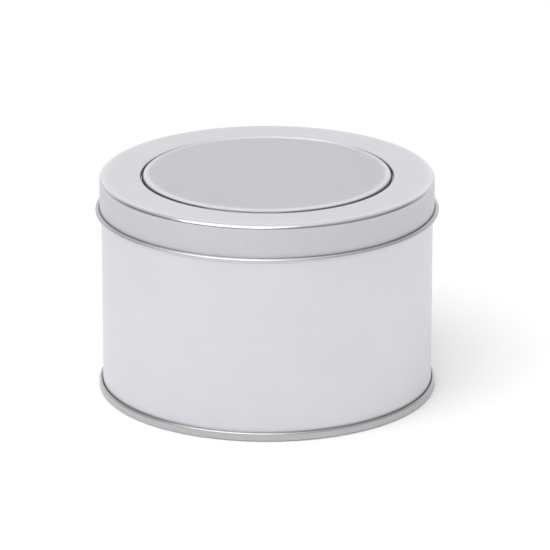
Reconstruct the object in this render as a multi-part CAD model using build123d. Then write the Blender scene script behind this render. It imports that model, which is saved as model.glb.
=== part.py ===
from build123d import *
import math
import os

# Round slip-lid candle tin with a clear window. Millimetres, +Z up.
# Origin: centre of the foot, on the surface that the tin stands on. +Y is the back, where the weld is.

# Tin and sheet
tin_diameter = 90.0  # outside of the wall
tin_height = 60.0  # foot to the flat top of the closed lid
sheet = 0.23  # tinplate of every pressed or rolled piece

# Wall
rim_curl_radius = 0.65  # outside radius of the inward curl at the mouth
rim_curl_turn = 290.0  # degrees that the edge is rolled through
weld_width = 1.6  # lap where the two ends of the sheet are welded
weld_rise = 0.08  # how far the pressed lap stands out of the wall

# Double seam at the foot
seam_height = 2.3
seam_film = 0.10  # gap between layers, filled by compound
foot_corner_radius = 0.45  # middle of the sheet, where the base turns round the foot
wall_hook_height = 1.75  # top edge of the wall's turned-up hook
base_hook_height = 0.85  # bottom edge of the base's turned-down hook
compound_height = 1.45  # how far up the outer layer the compound reaches

# Base panel
panel_recess = 2.8  # foot to the underside of the outer panel
panel_corner_radius = 0.55
panel_step = 0.5  # the middle of the panel is pressed down by this much
panel_step_radius = 38.5  # where the step is
panel_step_width = 1.4
panel_step_bend = 0.5

# Lid shell
lid_clearance = 0.20  # radial, lid over wall
lid_height = 10.2  # flat top to the underside of the bead
lid_corner_radius = 1.1  # outside
bead_radius = 0.70  # outside radius of the rolled bead
bead_turn = 300.0  # degrees that the skirt's edge is rolled through
window_diameter = 68.5  # clear opening in the lid's top
window_curl_radius = 0.50  # outside radius of the opening's safe edge
window_curl_turn = 200.0

# Clear pane
pane_sheet = 0.30
pane_gap = 0.50  # radial, pane to the opening's edge
pane_rise = 0.40  # top of the pane above the lid's flat top
pane_shoulder_radius = 1.0  # middle of the sheet
pane_foot_radius = 0.30  # middle of the sheet
pane_flange_margin = 0.25  # radial, flange to retainer

# Ring that holds the pane
retainer_opening_margin = 3.0  # its hole is this much wider than the window, in radius
retainer_lip_height = 0.42  # outer edge turned up, below the lid's corner, middle of the ring to tip
retainer_bend_radius = 0.30  # middle of the sheet
retainer_fit = 0.02  # radial, retainer in the lid
stack_gap = 0.02  # between flat faces that rest on each other inside the lid
lid_seat_gap = 0.05  # mouth of the tin to the retainer that rests on it

# Derived radii
half_sheet = sheet / 2
wall_radius = tin_diameter / 2
wall_middle = wall_radius - half_sheet
lid_bore = wall_radius + lid_clearance
skirt_middle = lid_bore + half_sheet
window_radius = window_diameter / 2

# Double seam: five layers of sheet, side by side, each one film apart
layer_pitch = sheet + seam_film
base_wall_middle = wall_middle - layer_pitch
base_hook_middle = wall_middle + layer_pitch
wall_hook_middle = base_hook_middle + layer_pitch
seam_outer_middle = wall_hook_middle + layer_pitch
fold_centre_height = half_sheet + 2 * layer_pitch

# Heights inside the lid, from the top down
pane_flange_top = tin_height - 2 * window_curl_radius - stack_gap
retainer_top = pane_flange_top - pane_sheet - stack_gap
mouth_height = retainer_top - sheet - lid_seat_gap


def section(path, thickness):
    """Flat section of a sheet whose middle follows the path."""
    return trace(path, thickness)


def spun(sketch):
    """Solid of revolution about the tin's axis, from a section drawn in X (radius) and Z (height)."""
    return revolve(Plane.XZ * sketch, Axis.Z)


def rolled_edge(start, centre, turn, clockwise=False):
    """Arc from start about centre, for an edge that is rolled up on itself."""
    radius = math.dist(start, centre)
    start_angle = math.degrees(math.atan2(start[1] - centre[1], start[0] - centre[0]))
    return CenterArc(centre, radius, start_angle, -turn if clockwise else turn)


def wall_path():
    """Middle of the wall's sheet: hook, fold, wall and curled mouth."""
    fold_radius = (wall_hook_middle - wall_middle) / 2
    fold_centre = (wall_middle + fold_radius, fold_centre_height)
    curl_centre = (wall_radius - rim_curl_radius, mouth_height - rim_curl_radius)
    hook = Line((wall_hook_middle, wall_hook_height), (wall_hook_middle, fold_centre_height))
    fold = rolled_edge((wall_hook_middle, fold_centre_height), fold_centre, 180, clockwise=True)
    wall = Line((wall_middle, fold_centre_height), (wall_middle, curl_centre[1]))
    curl = rolled_edge((wall_middle, curl_centre[1]), curl_centre, rim_curl_turn)
    return [hook, fold, wall, curl]


def weld_lap():
    """Narrow raised strip up the back, from the seam to the curled mouth, where the sheet's ends overlap."""
    low = seam_height
    high = mouth_height - 2 * rim_curl_radius
    middle = (low + high) / 2
    depth = half_sheet + weld_rise
    ring = spun(Pos(wall_middle + depth / 2, middle) * Rectangle(depth, high - low))
    strip = Pos(0, wall_radius, middle) * Box(weld_width, 2 * sheet, high - low)
    return ring & strip


def body_wall():
    return spun(section(wall_path(), sheet)) + weld_lap()


def base_path():
    """Middle of the base's sheet: panel, recess wall, foot, outer layer, top fold and hook."""
    panel_height = panel_recess + half_sheet
    middle_height = panel_height - panel_step
    foot = half_sheet
    fold_radius = (seam_outer_middle - base_hook_middle) / 2
    fold_height = seam_height - half_sheet - fold_radius
    pressed = FilletPolyline(
        (0, middle_height),
        (panel_step_radius - panel_step_width / 2, middle_height),
        (panel_step_radius + panel_step_width / 2, panel_height),
        (base_wall_middle, panel_height),
        (base_wall_middle, foot),
        (seam_outer_middle, foot),
        (seam_outer_middle, fold_height),
        radius=[
            panel_step_bend,
            panel_step_bend,
            panel_corner_radius,
            foot_corner_radius,
            foot_corner_radius,
        ],
    )
    fold_centre = (seam_outer_middle - fold_radius, fold_height)
    fold = rolled_edge((seam_outer_middle, fold_height), fold_centre, 180)
    hook = Line((base_hook_middle, fold_height), (base_hook_middle, base_hook_height))
    return [pressed, fold, hook]


def bottom_end():
    return spun(section(base_path(), sheet))


def seam_compound():
    """Fills the film between the base and the wall's fold, below the compound's height."""
    inner = base_wall_middle + half_sheet
    outer = seam_outer_middle - half_sheet
    height = compound_height - half_sheet
    channel = Pos((inner + outer) / 2, half_sheet + height / 2) * Rectangle(outer - inner, height)
    fold_radius = (wall_hook_middle - wall_middle) / 2
    fold = Pos(wall_middle + fold_radius, fold_centre_height) * Circle(fold_radius)
    above_fold = Pos(wall_middle + fold_radius, fold_centre_height + height / 2) * Rectangle(
        2 * fold_radius, height
    )
    film = channel - fold - above_fold - section(wall_path(), sheet) - section(base_path(), sheet)
    return spun(film)


def lid_path():
    """Middle of the lid's sheet: window's safe edge, flat top, corner, skirt and bead."""
    top = tin_height - half_sheet
    bead_centre = (lid_bore + bead_radius, tin_height - lid_height + bead_radius)
    curl_centre = (window_radius + window_curl_radius, tin_height - window_curl_radius)
    curl = rolled_edge((curl_centre[0], top), curl_centre, window_curl_turn)
    shell = FilletPolyline(
        (curl_centre[0], top),
        (skirt_middle, top),
        (skirt_middle, bead_centre[1]),
        radius=lid_corner_radius - half_sheet,
    )
    bead = rolled_edge((skirt_middle, bead_centre[1]), bead_centre, bead_turn)
    return [curl, shell, bead]


def lid_shell():
    return spun(section(lid_path(), sheet))


def window_pane():
    half_pane = pane_sheet / 2
    top = tin_height + pane_rise - half_pane
    flange = pane_flange_top - half_pane
    upright = window_radius - pane_gap - half_pane
    edge = skirt_middle - half_sheet - sheet - pane_flange_margin
    path = FilletPolyline(
        (0, top),
        (upright, top),
        (upright, flange),
        (edge, flange),
        radius=[pane_shoulder_radius, pane_foot_radius],
    )
    return spun(section(path, pane_sheet))


def window_retainer():
    ring_height = retainer_top - half_sheet
    lip_middle = lid_bore - retainer_fit - half_sheet
    path = FilletPolyline(
        (window_radius + retainer_opening_margin, ring_height),
        (lip_middle, ring_height),
        (lip_middle, ring_height + retainer_lip_height),
        radius=retainer_bend_radius,
    )
    return spun(section(path, sheet))


os.makedirs("parts", exist_ok=True)
for make in (body_wall, bottom_end, seam_compound, lid_shell, window_pane, window_retainer):
    export_step(make(), f"parts/{make.__name__}.step")
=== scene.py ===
import math

import bmesh
import bpy
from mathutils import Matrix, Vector


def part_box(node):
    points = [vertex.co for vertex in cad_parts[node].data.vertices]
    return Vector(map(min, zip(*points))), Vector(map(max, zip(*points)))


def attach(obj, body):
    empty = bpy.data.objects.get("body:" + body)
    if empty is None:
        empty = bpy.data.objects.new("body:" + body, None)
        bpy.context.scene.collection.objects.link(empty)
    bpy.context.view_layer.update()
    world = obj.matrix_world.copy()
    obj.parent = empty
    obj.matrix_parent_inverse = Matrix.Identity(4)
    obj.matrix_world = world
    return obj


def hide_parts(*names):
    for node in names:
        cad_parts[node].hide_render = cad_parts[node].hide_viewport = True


# A round candle tin: satin electrolytic tinplate, a slip-on lid and a clear thermoformed window.
# Metres, +Z up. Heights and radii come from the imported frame. The sizes below are the ones a presser sets.

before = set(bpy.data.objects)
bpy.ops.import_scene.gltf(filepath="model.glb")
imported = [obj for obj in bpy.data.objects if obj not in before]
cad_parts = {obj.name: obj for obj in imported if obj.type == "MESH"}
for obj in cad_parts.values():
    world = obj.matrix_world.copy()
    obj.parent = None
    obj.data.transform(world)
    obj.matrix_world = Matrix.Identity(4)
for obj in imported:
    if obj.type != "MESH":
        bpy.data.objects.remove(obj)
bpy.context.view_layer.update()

MM = 0.001

# Sheet and the double seam at the foot
SHEET = 0.23 * MM  # tinplate
HALF_SHEET = SHEET / 2
SEAM_FILM = 0.10 * MM  # compound between the layers of the double seam
LAYER_PITCH = SHEET + SEAM_FILM
FOOT_CORNER = 0.45 * MM
SEAM_HEIGHT = 2.3 * MM
WALL_HOOK_HEIGHT = 1.75 * MM
BASE_HOOK_HEIGHT = 0.85 * MM

# Base panel
PANEL_CORNER = 0.55 * MM
PANEL_STEP = 0.5 * MM
PANEL_STEP_RADIUS = 38.5 * MM
PANEL_STEP_WIDTH = 1.4 * MM
PANEL_STEP_BEND = 0.5 * MM

# Mouth, and the weld up the back. Turns are in degrees.
MOUTH_CURL = 0.65 * MM
MOUTH_CURL_TURN = 290.0
WELD_WIDTH = 1.6 * MM
WELD_RISE = 0.08 * MM
WELD_EDGE_STEPS = 4  # facets across each rounded edge of the lap

# Lid
LID_CLEARANCE = 0.20 * MM
LID_CORNER = 1.1 * MM
BEAD = 0.70 * MM
BEAD_TURN = 300.0
BEAD_SHINE = 0.2  # how far the bead is polished, where a die's bend is 1
WINDOW_RADIUS = 34.25 * MM
WINDOW_CURL = 0.50 * MM
WINDOW_CURL_TURN = 200.0

# Pane and the ring that holds it
PANE_SHEET = 0.30 * MM
PANE_GAP = 0.50 * MM
PANE_SHOULDER = 1.0 * MM
PANE_FOOT_BEND = 0.30 * MM
PANE_CREST = 0.36 * MM  # depth of the shoulder's crest, where forming stretches the sheet most
RETAINER_BEND = 0.30 * MM
RETAINER_FIT = 0.02 * MM
RETAINER_WIDER = 3.0 * MM

# Tinplate. Patterns are in waves per metre. Rolled lines are 0.1 mm apart on the real sheet, and they are
# drawn four times coarser to show.
ROLLED_ROUND = (60.0, 60.0, 2500.0)  # round the wall
ROLLED_ACROSS = (60.0, 2500.0, 60.0)  # across a disc
DRAW_MARKS = (1400.0, 1400.0, 60.0)
MATT_GRIT = 2600.0
TIN_CLOUDS = 60.0
WALL_TONES = ("#D6D5DA", "#DDDCE1")  # dark and light of each surface
DISC_TONES = ("#DAD9DE", "#E1E0E5")
# The drawn skirt's tones are darker than the flat sheet's: painted shade. The draw marks run between its two
# tones.
SHADED_DRAWN_TONES = ("#C9C8CC", "#D0CFD3")
# The seam's tones are darker still: painted shade on the foot ring.
SHADED_SEAMED_TONES = ("#B8B8B9", "#C3C3C3")
SHEET_ROUGHNESS = 0.40
DRAWN_ROUGHNESS = 0.44
LINE_ROUGHNESS = 0.08  # what the rolled or drawn lines add
ROLLED_POLISH = 0.18  # roughness of a bend that a roller or a die has burnished
SEAMED_POLISH = 0.26  # and of the seam, which is rolled over twice
GRIT_DEPTH = 0.5  # where the depth of the lines is 1
TIN_RELIEF = 0.02 * MM
TIN_BUMP = 0.12

# Clear plastic
SCUFFS = 90.0  # waves per metre
PLASTIC_TINT = "#F8F8FA"
HAZE_TINT = "#F4F4F9"
CLEAN_ROUGHNESS = 0.05
SCUFFED_ROUGHNESS = 0.12
HEAD_ON_MIRROR = 0.04  # what a sheet with an index of 1.5 reflects head on
MIRROR_POWER = 5.0  # how fast that grows towards a glancing view
PANE_HAZE = 0.28  # share of the light that one handled face scatters
PANE_BEND_HAZE = 0.60  # and the same where the sheet was stretched
HANDLED_FADE = 0.15 * MM  # the haze dies away from this far above the lid's flat top to this far below

# Weld
WELD_PULSES = 200.0  # a ripple each 1.6 mm, as a wave texture runs 20 radians in a unit of its scale
WELD_WANDER = 1.5
WELD_CLOUDS = 400.0  # waves per metre
WELD_TONES = ("#A9A9AE", "#BEBDBF")
WELD_VALLEY_ROUGHNESS = 0.36
WELD_CREST_ROUGHNESS = 0.50
WELD_RELIEF = 0.03 * MM
WELD_BUMP = 0.25

# Seaming compound
COMPOUND_LUMPS = 900.0  # waves per metre
COMPOUND_TONES = ("#8E877A", "#A39C8E")
COMPOUND_ROUGHNESS = 0.7
COMPOUND_RELIEF = 0.02 * MM
COMPOUND_BUMP = 0.3

# Studio. A level of 1 shows as pure white.
TABLE_HALF = 4.0
TABLE_DROP = 0.1 * MM  # keeps the table's face clear of the foot
TABLE_TINT = "#FAFAFA"
TABLE_ROUGHNESS = 0.9
TABLE_SHEEN = 0.1
TABLE_GLOW = 0.09  # light that comes up through the opal table
ROOM_LEVEL = 0.34  # behind the camera
BACKDROP_LEVEL = 1.02  # behind the tin
BACKDROP_START = 0.25  # share of a direction that points along +Y
BACKDROP_WHOLE = 0.95
CEILING_LEVEL = 0.75
CEILING_START = 0.50  # share of a direction that points along +Z
CEILING_WHOLE = 0.75
SEEN_LEVEL = 1.1  # what the camera sees past the table
SENSOR_WIDTH = 36.0  # millimetres, as the next line is
LENS_LENGTH = 288.43
CAMERA_PLACE = (0.00216, -1.137, 0.4203)
CAMERA_DIP = 18.9  # degrees below level
NEAREST_SEEN = 0.01
FARTHEST_SEEN = 50.0

# Mesh
TURN_FACETS = 240  # facets round the tin
ARC_STEPS = 12  # points on each quarter turn of a bend
FEWEST_ARC_STEPS = 3
POINT_SPACING = 0.9 * MM  # along a straight stretch of a section
SHARP_EDGE = 40.0  # degrees
CLOSING_DISTANCE = 0.0001 * MM  # joins the last column of facets to the first
POLISH_FADE = 2  # points over which the polish of a metal bend dies away
CLOUD_FADE = 1  # points over which the cloudiness of the pane's shoulder dies away

# A Mix node's sockets have the same names for numbers and for colours, so they are found by their order
FACTOR = 0
NUMBER_A = 2
NUMBER_B = 3
COLOUR_A = 6
COLOUR_B = 7
NUMBER_OUT = 0
COLOUR_OUT = 2

# Places read from the frame
lid_low, lid_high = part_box("lid_shell")
lid_top = lid_high.z
bead_outside = lid_high.x
lid_bore = bead_outside - 2 * BEAD
wall_radius = lid_bore - LID_CLEARANCE
wall_middle = wall_radius - HALF_SHEET
mouth_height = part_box("body_wall")[1].z
panel_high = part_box("bottom_end")[1].z
pane_low, pane_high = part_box("window_pane")
retainer_low, retainer_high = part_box("window_retainer")


# ---------------------------------------------------------------- sections

def straight(start, end):
    """Evenly spaced points from start to end, without end."""
    count = max(1, round(math.dist(start, end) / POINT_SPACING))
    across = end[0] - start[0]
    along = end[1] - start[1]
    return [(start[0] + across * i / count, start[1] + along * i / count, 0.0) for i in range(count)]


def rolled(centre, radius, start_degrees, turn_degrees):
    """Points of an arc about centre, marked as bent metal."""
    count = max(FEWEST_ARC_STEPS, round(ARC_STEPS * abs(turn_degrees) / 90))
    angles = [math.radians(start_degrees + turn_degrees * i / count) for i in range(count + 1)]
    return [(centre[0] + radius * math.cos(a), centre[1] + radius * math.sin(a), 1.0) for a in angles]


def pressed(corners, bends):
    """Section of a pressed sheet: straight runs between corners, each corner rounded to its bend radius."""
    points = []
    last = corners[0]
    for here, after, bend in zip(corners[1:-1], corners[2:], bends):
        before = Vector(here) - Vector(last)
        ahead = Vector(after) - Vector(here)
        turn = before.angle_signed(ahead)
        cut = bend * math.tan(abs(turn) / 2)
        enter = Vector(here) - before.normalized() * cut
        side = Vector((-before.y, before.x)).normalized() * math.copysign(bend, -turn)
        centre = enter + side
        start = math.degrees(math.atan2(-side.y, -side.x))
        points += straight(last, enter)
        points += rolled(centre, bend, start, math.degrees(-turn))
        last = points.pop()[:2]
    points += straight(last, corners[-1])
    points.append((corners[-1][0], corners[-1][1], 0.0))
    return points


def wall_section():
    """Hook, fold, wall and curled mouth."""
    hook_radius = wall_middle + 2 * LAYER_PITCH
    fold_centre = (wall_middle + LAYER_PITCH, HALF_SHEET + 2 * LAYER_PITCH)
    curl_centre = (wall_radius - MOUTH_CURL, mouth_height - MOUTH_CURL)
    return (
        straight((hook_radius, WALL_HOOK_HEIGHT), (hook_radius, fold_centre[1]))
        + rolled(fold_centre, LAYER_PITCH, 0, -180)
        + straight((wall_middle, fold_centre[1]), (wall_middle, curl_centre[1]))[1:]
        + rolled(curl_centre, MOUTH_CURL - HALF_SHEET, 0, MOUTH_CURL_TURN)
    )


def base_section():
    """Panel with its step, recess wall, foot, outer layer of the seam, top fold and hook."""
    panel = panel_high - HALF_SHEET
    inner = wall_middle - LAYER_PITCH
    outer = wall_middle + 3 * LAYER_PITCH
    fold_centre = (outer - LAYER_PITCH, SEAM_HEIGHT - HALF_SHEET - LAYER_PITCH)
    body = pressed(
        [
            (0.0, panel - PANEL_STEP),
            (PANEL_STEP_RADIUS - PANEL_STEP_WIDTH / 2, panel - PANEL_STEP),
            (PANEL_STEP_RADIUS + PANEL_STEP_WIDTH / 2, panel),
            (inner, panel),
            (inner, HALF_SHEET),
            (outer, HALF_SHEET),
            (outer, fold_centre[1]),
        ],
        [PANEL_STEP_BEND, PANEL_STEP_BEND, PANEL_CORNER, FOOT_CORNER, FOOT_CORNER],
    )
    hook_radius = outer - 2 * LAYER_PITCH
    return (
        body
        + rolled(fold_centre, LAYER_PITCH, 0, 180)[1:]
        + straight((hook_radius, fold_centre[1]), (hook_radius, BASE_HOOK_HEIGHT))[1:]
    )


def lid_section():
    """Window's safe edge, which no tool burnishes, flat ring, corner, skirt and rolled bead."""
    top = lid_top - HALF_SHEET
    curl_centre = (WINDOW_RADIUS + WINDOW_CURL, lid_top - WINDOW_CURL)
    bead_centre = (lid_bore + BEAD, lid_low.z + BEAD)
    skirt = lid_bore + HALF_SHEET
    safe_edge = rolled(curl_centre, WINDOW_CURL - HALF_SHEET, 90 + WINDOW_CURL_TURN, -WINDOW_CURL_TURN)
    unpolished = [(radius, height, 0.0) for radius, height, _ in safe_edge]
    shell = pressed(
        [(curl_centre[0], top), (skirt, top), (skirt, bead_centre[1])], [LID_CORNER - HALF_SHEET]
    )
    bead = rolled(bead_centre, BEAD - HALF_SHEET, 180, BEAD_TURN)
    part_polished = [(radius, height, BEAD_SHINE) for radius, height, _ in bead]
    return unpolished[:-1] + shell[:-1] + part_polished


def pane_section():
    """Raised panel, shoulder, upright and flange; only the crest of the shoulder is marked as stretched."""
    half = PANE_SHEET / 2
    upright = WINDOW_RADIUS - PANE_GAP - half
    points = pressed(
        [
            (0.0, pane_high.z - half),
            (upright, pane_high.z - half),
            (upright, pane_low.z + half),
            (pane_high.x, pane_low.z + half),
        ],
        [PANE_SHOULDER, PANE_FOOT_BEND],
    )
    crest = pane_high.z - half - PANE_CREST
    return [(radius, height, bent if height > crest else 0.0) for radius, height, bent in points]


def retainer_section():
    """Flat ring with its outer edge turned up."""
    height = retainer_low.z + HALF_SHEET
    lip = lid_bore - RETAINER_FIT - HALF_SHEET
    return pressed(
        [(WINDOW_RADIUS + RETAINER_WIDER, height), (lip, height), (lip, retainer_high.z)], [RETAINER_BEND]
    )


# ---------------------------------------------------------------- node helper

def add(tree, kind, settings=None, links=None):
    """A node with its settings, and with its inputs linked to sockets or set to values."""
    node = tree.nodes.new(kind)
    for name, value in (settings or {}).items():
        setattr(node, name, value)
    for name, value in (links or {}).items():
        socket = node.inputs[name]
        if isinstance(value, bpy.types.NodeSocket):
            tree.links.new(value, socket)
        else:
            socket.default_value = value
    return node


# ---------------------------------------------------------------- spinning tree

def spinning_tree():
    """Geometry Nodes: spins a section, given as a row of points, round the tin's axis."""
    tree = bpy.data.node_groups.new("spun_sheet", "GeometryNodeTree")
    sockets = tree.interface
    sockets.new_socket("Section", in_out="INPUT", socket_type="NodeSocketGeometry")
    sockets.new_socket("Facets round", in_out="INPUT", socket_type="NodeSocketInt")
    sockets.new_socket("Bend fade", in_out="INPUT", socket_type="NodeSocketInt")
    sockets.new_socket("Drawn beyond", in_out="INPUT", socket_type="NodeSocketFloat")
    sockets.new_socket("Finish", in_out="INPUT", socket_type="NodeSocketMaterial")
    sockets.new_socket("Sheet", in_out="OUTPUT", socket_type="NodeSocketGeometry")
    given = add(tree, "NodeGroupInput").outputs

    count = add(tree, "GeometryNodeAttributeDomainSize", {"component": "MESH"}, {0: given["Section"]})
    columns = add(tree, "ShaderNodeMath", {"operation": "ADD"}, {0: given["Facets round"], 1: 1.0})
    grid = add(
        tree,
        "GeometryNodeMeshGrid",
        links={
            "Size X": 1.0,
            "Size Y": 1.0,
            "Vertices X": columns.outputs[0],
            "Vertices Y": count.outputs["Point Count"],
        },
    )
    split = {0: add(tree, "GeometryNodeInputIndex").outputs[0], 1: count.outputs["Point Count"]}
    row = add(tree, "FunctionNodeIntegerMath", {"operation": "MODULO"}, split)
    column = add(tree, "FunctionNodeIntegerMath", {"operation": "DIVIDE"}, split)
    position = add(tree, "GeometryNodeInputPosition").outputs[0]
    bend_mark = add(
        tree, "GeometryNodeInputNamedAttribute", {"data_type": "FLOAT"}, {"Name": "bent"}
    ).outputs[0]
    place = add(
        tree,
        "GeometryNodeSampleIndex",
        {"data_type": "FLOAT_VECTOR"},
        {"Geometry": given["Section"], "Value": position, "Index": row.outputs[0]},
    )
    bent = add(
        tree,
        "GeometryNodeSampleIndex",
        {"data_type": "FLOAT"},
        {"Geometry": given["Section"], "Value": bend_mark, "Index": row.outputs[0]},
    )
    share = add(
        tree, "ShaderNodeMath", {"operation": "DIVIDE"}, {0: column.outputs[0], 1: given["Facets round"]}
    )
    angle = add(tree, "ShaderNodeMath", {"operation": "MULTIPLY"}, {0: share.outputs[0], 1: math.tau})
    upright = add(
        tree,
        "ShaderNodeVectorRotate",
        {"rotation_type": "Z_AXIS"},
        {"Vector": place.outputs[0], "Angle": angle.outputs[0]},
    )
    placed = add(
        tree,
        "GeometryNodeSetPosition",
        links={"Geometry": grid.outputs["Mesh"], "Position": upright.outputs[0]},
    )
    marked = add(
        tree,
        "GeometryNodeStoreNamedAttribute",
        {"data_type": "FLOAT", "domain": "POINT"},
        {"Geometry": placed.outputs[0], "Name": "bent", "Value": bent.outputs[0]},
    )
    radius = add(tree, "ShaderNodeSeparateXYZ", links={0: place.outputs[0]}).outputs["X"]
    # Marks the drawn skirt, hook and seam. The finishes make them rougher and give them darker tones, which
    # are painted shade.
    drawn_and_shaded = add(
        tree, "ShaderNodeMath", {"operation": "GREATER_THAN"}, {0: radius, 1: given["Drawn beyond"]}
    )
    worked = add(
        tree,
        "GeometryNodeStoreNamedAttribute",
        {"data_type": "FLOAT", "domain": "POINT"},
        {"Geometry": marked.outputs[0], "Name": "drawn_and_shaded", "Value": drawn_and_shaded.outputs[0]},
    )
    closed = add(
        tree,
        "GeometryNodeMergeByDistance",
        links={"Geometry": worked.outputs[0], "Distance": CLOSING_DISTANCE},
    )
    faded = add(
        tree,
        "GeometryNodeBlurAttribute",
        {"data_type": "FLOAT"},
        {"Value": bend_mark, "Iterations": given["Bend fade"]},
    )
    soft = add(
        tree,
        "GeometryNodeStoreNamedAttribute",
        {"data_type": "FLOAT", "domain": "POINT"},
        {"Geometry": closed.outputs[0], "Name": "bent", "Value": faded.outputs[0]},
    )
    smooth = add(tree, "GeometryNodeSetShadeSmooth", links={"Geometry": soft.outputs[0]})
    real = add(tree, "GeometryNodeRealizeInstances", links={"Geometry": smooth.outputs[0]})
    finish = add(
        tree, "GeometryNodeSetMaterial", links={"Geometry": real.outputs[0], "Material": given["Finish"]}
    )
    add(tree, "NodeGroupOutput", links={"Sheet": finish.outputs[0]})
    return tree


def spin_sheet(name, section, thickness, finish, tree, fade=POLISH_FADE):
    """A sheet piece: its section as a row of points, spun by the tree, then given its thickness."""
    row = bpy.data.meshes.new(name + "_section")
    points = [(radius, 0.0, height) for radius, height, _ in section]
    row.from_pydata(points, [(i, i + 1) for i in range(len(points) - 1)], [])
    marks = row.attributes.new("bent", "FLOAT", "POINT")
    marks.data.foreach_set("value", [bent for _, _, bent in section])
    rough = bpy.data.objects.new(name + "_rough", row)
    bpy.context.scene.collection.objects.link(rough)
    spin = rough.modifiers.new("spin", "NODES")
    spin.node_group = tree
    inputs = {
        "Facets round": TURN_FACETS,
        "Bend fade": fade,
        "Drawn beyond": wall_radius,
        "Finish": finish,
    }
    for item in tree.interface.items_tree:
        if item.in_out == "INPUT" and item.name in inputs:
            spin[item.identifier] = inputs[item.name]
    plate = rough.modifiers.new("thickness", "SOLIDIFY")
    plate.thickness = thickness
    plate.offset = 0.0
    plate.use_even_offset = True
    ready = rough.evaluated_get(bpy.context.evaluated_depsgraph_get())
    mesh = bpy.data.meshes.new_from_object(ready)
    bpy.data.objects.remove(rough)
    mesh.name = name
    mesh.set_sharp_from_angle(angle=math.radians(SHARP_EDGE))
    piece = bpy.data.objects.new(name, mesh)
    bpy.context.scene.collection.objects.link(piece)
    return piece


# ---------------------------------------------------------------- finishes

def linear(hex_colour):
    """sRGB hex to a linear colour with full alpha."""
    parts = [int(hex_colour[i : i + 2], 16) / 255 for i in (1, 3, 5)]
    return tuple(c / 12.92 if c <= 0.04045 else ((c + 0.055) / 1.055) ** 2.4 for c in parts) + (1.0,)


def new_finish(name):
    """An empty material and its node tree."""
    material = bpy.data.materials.new(name)
    material.use_nodes = True
    material.node_tree.nodes.clear()
    return material, material.node_tree


def tones(tree, factor, pair):
    """Colour socket that runs between the two tones of a pair."""
    mixed = add(
        tree,
        "ShaderNodeMix",
        {"data_type": "RGBA"},
        {FACTOR: factor, COLOUR_A: linear(pair[0]), COLOUR_B: linear(pair[1])},
    )
    return mixed.outputs[COLOUR_OUT]


def satin_tinplate(name, rolling, polish, flat_tones, shaded_worked_tones):
    """Electrolytic tinplate on matt-rolled steel: pale cool silver with soft, wide reflections.

    The mill's rollers leave faint straight lines, and rolling holds their scale on each axis. The tools
    polish the bends, and they leave the drawn skirt and the seam duller, with upright draw marks. The
    skirt's and the seam's tones are set darker than the flat sheet's, as painted shade.
    """
    material, tree = new_finish(name)
    place = add(tree, "ShaderNodeTexCoord").outputs["Object"]
    bent = add(tree, "ShaderNodeAttribute", {"attribute_name": "bent"}).outputs["Fac"]
    drawn_and_shaded = add(tree, "ShaderNodeAttribute", {"attribute_name": "drawn_and_shaded"}).outputs["Fac"]

    rolled_place = add(tree, "ShaderNodeMapping", links={"Vector": place, "Scale": rolling})
    drawn_place = add(tree, "ShaderNodeMapping", links={"Vector": place, "Scale": DRAW_MARKS})
    roll_lines = add(tree, "ShaderNodeTexNoise", links={"Vector": rolled_place.outputs[0], "Scale": 1.0})
    draw_lines = add(tree, "ShaderNodeTexNoise", links={"Vector": drawn_place.outputs[0], "Scale": 1.0})
    lines = add(
        tree,
        "ShaderNodeMix",
        {"data_type": "FLOAT"},
        {FACTOR: drawn_and_shaded, NUMBER_A: roll_lines.outputs["Fac"], NUMBER_B: draw_lines.outputs["Fac"]},
    )
    grit = add(tree, "ShaderNodeTexNoise", links={"Vector": place, "Scale": MATT_GRIT, "Detail": 2.0})
    cloud = add(tree, "ShaderNodeTexNoise", links={"Vector": place, "Scale": TIN_CLOUDS, "Detail": 3.0})

    flat_colour = tones(tree, cloud.outputs["Fac"], flat_tones)
    # The drawn skirt and the seam take darker tones here: painted shade, with the draw marks running between
    # the two tones.
    shaded_drawn_colour = tones(tree, draw_lines.outputs["Fac"], shaded_worked_tones)
    colour = add(
        tree,
        "ShaderNodeMix",
        {"data_type": "RGBA"},
        {FACTOR: drawn_and_shaded, COLOUR_A: flat_colour, COLOUR_B: shaded_drawn_colour},
    )
    dull = add(
        tree,
        "ShaderNodeMapRange",
        links={"Value": drawn_and_shaded, "To Min": SHEET_ROUGHNESS, "To Max": DRAWN_ROUGHNESS},
    )
    shine = add(
        tree,
        "ShaderNodeMix",
        {"data_type": "FLOAT"},
        {FACTOR: bent, NUMBER_A: dull.outputs[0], NUMBER_B: polish},
    )
    varied = add(
        tree,
        "ShaderNodeMath",
        {"operation": "MULTIPLY_ADD"},
        {0: lines.outputs[NUMBER_OUT], 1: LINE_ROUGHNESS, 2: shine.outputs[NUMBER_OUT]},
    )
    texture = add(
        tree,
        "ShaderNodeMath",
        {"operation": "MULTIPLY_ADD"},
        {0: grit.outputs["Fac"], 1: GRIT_DEPTH, 2: lines.outputs[NUMBER_OUT]},
    )
    bump = add(
        tree,
        "ShaderNodeBump",
        links={"Height": texture.outputs[0], "Strength": TIN_BUMP, "Distance": TIN_RELIEF},
    )
    shader = add(
        tree,
        "ShaderNodeBsdfPrincipled",
        links={
            "Base Color": colour.outputs[COLOUR_OUT],
            "Metallic": 1.0,
            "Roughness": varied.outputs[0],
            "Normal": bump.outputs[0],
        },
    )
    add(tree, "ShaderNodeOutputMaterial", links={"Surface": shader.outputs[0]})
    return material


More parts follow.
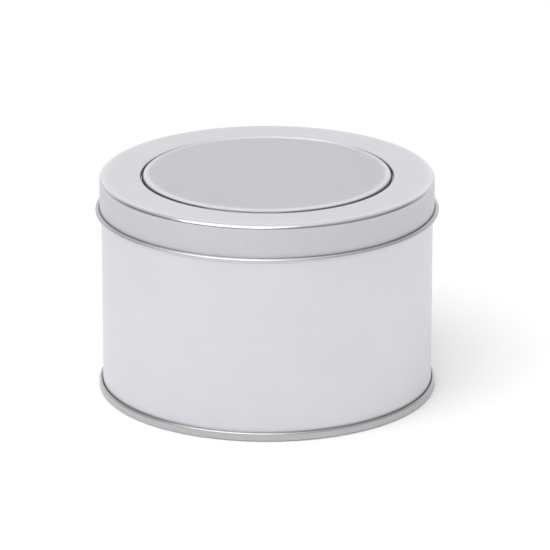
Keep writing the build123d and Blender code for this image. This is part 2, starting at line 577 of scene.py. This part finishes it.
def welded_lap():
    """Resistance weld in tinplate: dull grey where the tin alloyed, a ripple for each pulse of current."""
    material, tree = new_finish("welded_lap")
    place = add(tree, "ShaderNodeTexCoord").outputs["Object"]
    pulses = add(
        tree,
        "ShaderNodeTexWave",
        {"bands_direction": "Z"},
        {"Vector": place, "Scale": WELD_PULSES, "Distortion": WELD_WANDER, "Detail": 2.0},
    )
    ripple = pulses.outputs["Fac"]
    cloud = add(tree, "ShaderNodeTexNoise", links={"Vector": place, "Scale": WELD_CLOUDS, "Detail": 3.0})
    rough = add(
        tree,
        "ShaderNodeMapRange",
        links={"Value": ripple, "To Min": WELD_VALLEY_ROUGHNESS, "To Max": WELD_CREST_ROUGHNESS},
    )
    bump = add(
        tree, "ShaderNodeBump", links={"Height": ripple, "Strength": WELD_BUMP, "Distance": WELD_RELIEF}
    )
    shader = add(
        tree,
        "ShaderNodeBsdfPrincipled",
        links={
            "Base Color": tones(tree, cloud.outputs["Fac"], WELD_TONES),
            "Metallic": 1.0,
            "Roughness": rough.outputs[0],
            "Normal": bump.outputs[0],
        },
    )
    add(tree, "ShaderNodeOutputMaterial", links={"Surface": shader.outputs[0]})
    return material


def clear_pvc():
    """Thermoformed PVC: clear, hazed by handling above the lid, cloudier where forming stretched it."""
    material, tree = new_finish("clear_pvc")
    place = add(tree, "ShaderNodeTexCoord").outputs["Object"]
    scuffs = add(tree, "ShaderNodeTexNoise", links={"Vector": place, "Scale": SCUFFS, "Detail": 4.0})
    facing = add(tree, "ShaderNodeLayerWeight", links={"Blend": 0.5}).outputs["Facing"]
    steep = add(tree, "ShaderNodeMath", {"operation": "POWER"}, {0: facing, 1: MIRROR_POWER})
    mirror = add(
        tree,
        "ShaderNodeMath",
        {"operation": "MULTIPLY_ADD"},
        {0: steep.outputs[0], 1: 1 - HEAD_ON_MIRROR, 2: HEAD_ON_MIRROR},
    )
    rough = add(
        tree,
        "ShaderNodeMapRange",
        links={"Value": scuffs.outputs["Fac"], "To Min": CLEAN_ROUGHNESS, "To Max": SCUFFED_ROUGHNESS},
    )
    bent = add(tree, "ShaderNodeAttribute", {"attribute_name": "bent"}).outputs["Fac"]
    cloudy = add(
        tree, "ShaderNodeMapRange", links={"Value": bent, "To Min": PANE_HAZE, "To Max": PANE_BEND_HAZE}
    )
    height = add(tree, "ShaderNodeSeparateXYZ", links={0: place}).outputs["Z"]
    reached = add(
        tree,
        "ShaderNodeMapRange",
        links={"Value": height, "From Min": lid_top - HANDLED_FADE, "From Max": lid_top + HANDLED_FADE},
    )
    handled = add(
        tree, "ShaderNodeMath", {"operation": "MULTIPLY"}, {0: cloudy.outputs[0], 1: reached.outputs[0]}
    )
    gloss = add(
        tree, "ShaderNodeBsdfGlossy", links={"Color": linear("#FFFFFF"), "Roughness": rough.outputs[0]}
    )
    clear = add(tree, "ShaderNodeBsdfTransparent", links={"Color": linear(PLASTIC_TINT)})
    haze = add(tree, "ShaderNodeBsdfDiffuse", links={"Color": linear(HAZE_TINT)})
    body = add(
        tree, "ShaderNodeMixShader", links={0: handled.outputs[0], 1: clear.outputs[0], 2: haze.outputs[0]}
    )
    surface = add(
        tree, "ShaderNodeMixShader", links={0: mirror.outputs[0], 1: body.outputs[0], 2: gloss.outputs[0]}
    )
    add(tree, "ShaderNodeOutputMaterial", links={"Surface": surface.outputs[0]})
    return material


def cured_compound():
    """Water-based seaming compound, cured: dull warm grey rubber."""
    material, tree = new_finish("cured_compound")
    place = add(tree, "ShaderNodeTexCoord").outputs["Object"]
    noise = add(tree, "ShaderNodeTexNoise", links={"Vector": place, "Scale": COMPOUND_LUMPS, "Detail": 3.0})
    lumps = noise.outputs["Fac"]
    bump = add(
        tree,
        "ShaderNodeBump",
        links={"Height": lumps, "Strength": COMPOUND_BUMP, "Distance": COMPOUND_RELIEF},
    )
    shader = add(
        tree,
        "ShaderNodeBsdfPrincipled",
        links={
            "Base Color": tones(tree, lumps, COMPOUND_TONES),
            "Roughness": COMPOUND_ROUGHNESS,
            "Normal": bump.outputs[0],
        },
    )
    add(tree, "ShaderNodeOutputMaterial", links={"Surface": shader.outputs[0]})
    return material


# ---------------------------------------------------------------- pieces

def finish_piece(piece, body, node=None):
    """Parents a piece to its body, and hides the CAD node that it stands for."""
    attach(piece, body)
    if node:
        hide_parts(node)


def weld_strip(finish):
    """Pressed lap where the wall's two edges are welded, up the back from the seam to the curled mouth."""
    front = wall_middle
    back = wall_radius + WELD_RISE
    low = SEAM_HEIGHT
    high = mouth_height - 2 * MOUTH_CURL
    shape = bmesh.new()
    bmesh.ops.create_cube(shape, size=1.0)
    bmesh.ops.scale(shape, vec=(WELD_WIDTH, back - front, high - low), verts=shape.verts)
    bmesh.ops.translate(shape, vec=(0.0, (back + front) / 2, (high + low) / 2), verts=shape.verts)
    long_edges = [
        edge
        for edge in shape.edges
        if all(vertex.co.y > wall_radius for vertex in edge.verts) and edge.calc_length() > WELD_WIDTH * 2
    ]
    bmesh.ops.bevel(
        shape, geom=long_edges, offset=WELD_RISE, segments=WELD_EDGE_STEPS, affect="EDGES", profile=0.5
    )
    mesh = bpy.data.meshes.new("weld")
    shape.to_mesh(mesh)
    shape.free()
    mesh.shade_smooth()
    mesh.set_sharp_from_angle(angle=math.radians(SHARP_EDGE))
    mesh.materials.append(finish)
    piece = bpy.data.objects.new("weld", mesh)
    bpy.context.scene.collection.objects.link(piece)
    return piece


# ---------------------------------------------------------------- studio

def white_floor():
    """Opal white table that the tin stands on."""
    mesh = bpy.data.meshes.new("floor")
    sides = [(-1, -1), (1, -1), (1, 1), (-1, 1)]
    corners = [(x * TABLE_HALF, y * TABLE_HALF, -TABLE_DROP) for x, y in sides]
    mesh.from_pydata(corners, [], [(0, 1, 2, 3)])
    floor = bpy.data.objects.new("floor", mesh)
    bpy.context.scene.collection.objects.link(floor)
    material, tree = new_finish("white_sweep")
    shader = add(
        tree,
        "ShaderNodeBsdfPrincipled",
        links={
            "Base Color": linear(TABLE_TINT),
            "Roughness": TABLE_ROUGHNESS,
            "Specular IOR Level": TABLE_SHEEN,
            "Emission Color": linear("#FFFFFF"),
            "Emission Strength": TABLE_GLOW,
        },
    )
    add(tree, "ShaderNodeOutputMaterial", links={"Surface": shader.outputs[0]})
    mesh.materials.append(material)


def softbox(name, place, target, size, power):
    """Lit panel that the camera doesn't see, turned to its target. Its power is in watts."""
    light = bpy.data.lights.new(name, "AREA")
    light.shape = "RECTANGLE"
    light.size = size[0]
    light.size_y = size[1]
    light.energy = power
    holder = bpy.data.objects.new(name, light)
    holder.location = place
    holder.rotation_euler = (Vector(target) - Vector(place)).to_track_quat("-Z", "Y").to_euler()
    holder.visible_camera = False
    bpy.context.scene.collection.objects.link(holder)


def studio_air():
    """A white backdrop behind the tin; the room is greyer overhead, and much greyer towards the camera."""
    world = bpy.data.worlds.new("studio")
    world.use_nodes = True
    tree = world.node_tree
    tree.nodes.clear()
    direction = add(tree, "ShaderNodeTexCoord").outputs["Generated"]
    parts = add(tree, "ShaderNodeSeparateXYZ", links={0: direction})
    low = add(
        tree,
        "ShaderNodeMapRange",
        {"interpolation_type": "SMOOTHSTEP"},
        {
            "Value": parts.outputs["Y"],
            "From Min": BACKDROP_START,
            "From Max": BACKDROP_WHOLE,
            "To Min": ROOM_LEVEL,
            "To Max": BACKDROP_LEVEL,
        },
    )
    rise = add(
        tree,
        "ShaderNodeMapRange",
        {"interpolation_type": "SMOOTHSTEP"},
        {"Value": parts.outputs["Z"], "From Min": CEILING_START, "From Max": CEILING_WHOLE},
    )
    level = add(
        tree,
        "ShaderNodeMix",
        {"data_type": "FLOAT"},
        {FACTOR: rise.outputs[0], NUMBER_A: low.outputs[0], NUMBER_B: CEILING_LEVEL},
    )
    seen = add(tree, "ShaderNodeLightPath").outputs["Is Camera Ray"]
    shown = add(
        tree,
        "ShaderNodeMix",
        {"data_type": "FLOAT"},
        {FACTOR: seen, NUMBER_A: level.outputs[NUMBER_OUT], NUMBER_B: SEEN_LEVEL},
    )
    sky = add(
        tree,
        "ShaderNodeBackground",
        links={"Color": linear("#FFFFFF"), "Strength": shown.outputs[NUMBER_OUT]},
    )
    add(tree, "ShaderNodeOutputWorld", links={"Surface": sky.outputs[0]})
    bpy.context.scene.world = world


def camera():
    """Long lens in front of the tin, looking down on its lid."""
    lens = bpy.data.cameras.new("camera")
    lens.sensor_width = SENSOR_WIDTH
    lens.lens = LENS_LENGTH
    lens.clip_start = NEAREST_SEEN
    lens.clip_end = FARTHEST_SEEN
    holder = bpy.data.objects.new("camera", lens)
    holder.location = CAMERA_PLACE
    holder.rotation_euler = (math.radians(90 - CAMERA_DIP), 0.0, 0.0)
    bpy.context.scene.collection.objects.link(holder)
    bpy.context.scene.camera = holder


# ---------------------------------------------------------------- making

spinner = spinning_tree()
wall_plate = satin_tinplate("satin_tinplate_wall", ROLLED_ROUND, ROLLED_POLISH, WALL_TONES, SHADED_DRAWN_TONES)
disc_plate = satin_tinplate("satin_tinplate_disc", ROLLED_ACROSS, ROLLED_POLISH, DISC_TONES, SHADED_DRAWN_TONES)
# The seamed finish's darker tones on the foot ring are painted shade.
seamed_plate = satin_tinplate(
    "satin_tinplate_seamed", ROLLED_ACROSS, SEAMED_POLISH, DISC_TONES, SHADED_SEAMED_TONES
)

wall = spin_sheet("wall", wall_section(), SHEET, wall_plate, spinner)
base = spin_sheet("base", base_section(), SHEET, seamed_plate, spinner)
lid = spin_sheet("lid", lid_section(), SHEET, disc_plate, spinner)
pane = spin_sheet("pane", pane_section(), PANE_SHEET, clear_pvc(), spinner, CLOUD_FADE)
retainer = spin_sheet("retainer", retainer_section(), SHEET, disc_plate, spinner)
weld = weld_strip(welded_lap())

finish_piece(wall, "tin", "body_wall")
finish_piece(base, "tin", "bottom_end")
finish_piece(lid, "lid", "lid_shell")
finish_piece(pane, "lid", "window_pane")
finish_piece(retainer, "lid", "window_retainer")
finish_piece(weld, "tin")
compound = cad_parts["seam_compound"]
compound.data.materials.clear()
compound.data.materials.append(cured_compound())

white_floor()
studio_air()
softbox("overhead", place=(0.0, 0.1, 1.5), target=(0.0, 0.0, 0.0), size=(1.2, 1.2), power=1.2)
softbox("key", place=(-0.50, -0.85, 1.30), target=(0.0, 0.0, 0.03), size=(1.8, 1.5), power=16.5)
camera()
bpy.context.scene.view_settings.view_transform = "Standard"
